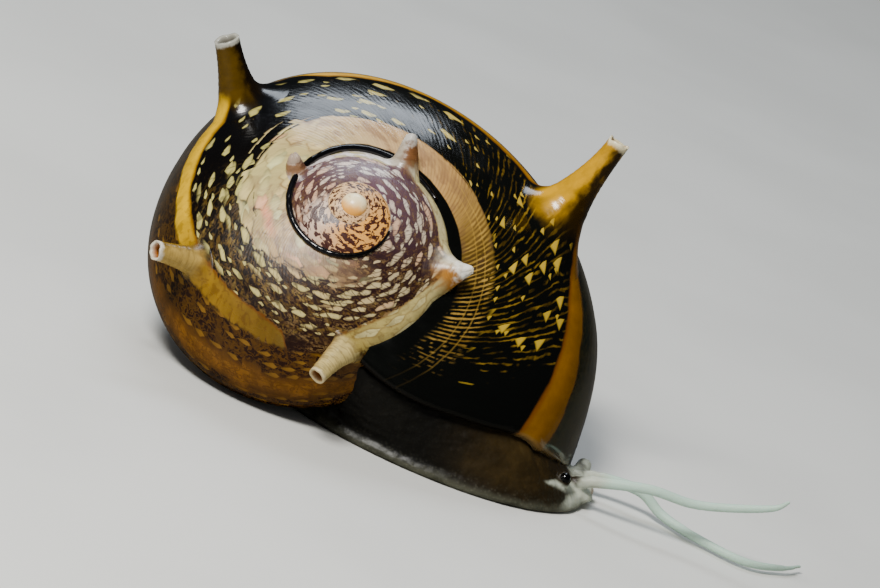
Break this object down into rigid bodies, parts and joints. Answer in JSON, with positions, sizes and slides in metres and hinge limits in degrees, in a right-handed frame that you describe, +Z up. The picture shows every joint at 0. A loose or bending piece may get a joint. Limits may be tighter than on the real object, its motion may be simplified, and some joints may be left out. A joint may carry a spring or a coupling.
{
  "type": "horned nerite snail",
  "caption": "Still life-size model of a crawling horned nerite snail: low-spired dark shell with hollow spines, broad foot, head, stalked eyes and thread-like feelers.",
  "frame": {"origin": "on the floor, on the flat sole of the foot, under the middle of the shell", "axes": "+X towards the head, +Z up, -Y the side that the spire leans to"},
  "size_m": [0.0308, 0.0171, 0.014],
  "materials": {
    "shell": "glossy black-brown with gold marks and a gold band on the keel",
    "spire": "glossy cream with dark purple-brown specks",
    "spine": "satin amber to ivory, chipped pale at the open tip",
    "flesh": "wet dark grey-brown, paler at the head",
    "mantle": "wet olive-brown",
    "operculum": "satin grey-brown with fine growth lines",
    "eye": "glossy black",
    "tentacle": "wet, pale green-grey with a darker line"
  },
  "bodies": {
    "root": {"shell_body_whorl": "shell", "shell_spire": "spire", "shell_apex": "spire", "spine_1": "spine", "spine_2": "spine", "spine_3": "spine", "spine_4": "spine", "spine_5": "spine", "spine_6": "spine", "spine_7": "spine", "foot": "flesh", "mantle": "mantle", "operculum": "operculum", "head": "flesh", "eye_right": "eye", "eye_left": "eye", "tentacle_right_root": "tentacle", "tentacle_right_middle": "tentacle", "tentacle_right_tip": "tentacle", "tentacle_left_root": "tentacle", "tentacle_left_middle": "tentacle", "tentacle_left_tip": "tentacle"}
  },
  "joints": []
}
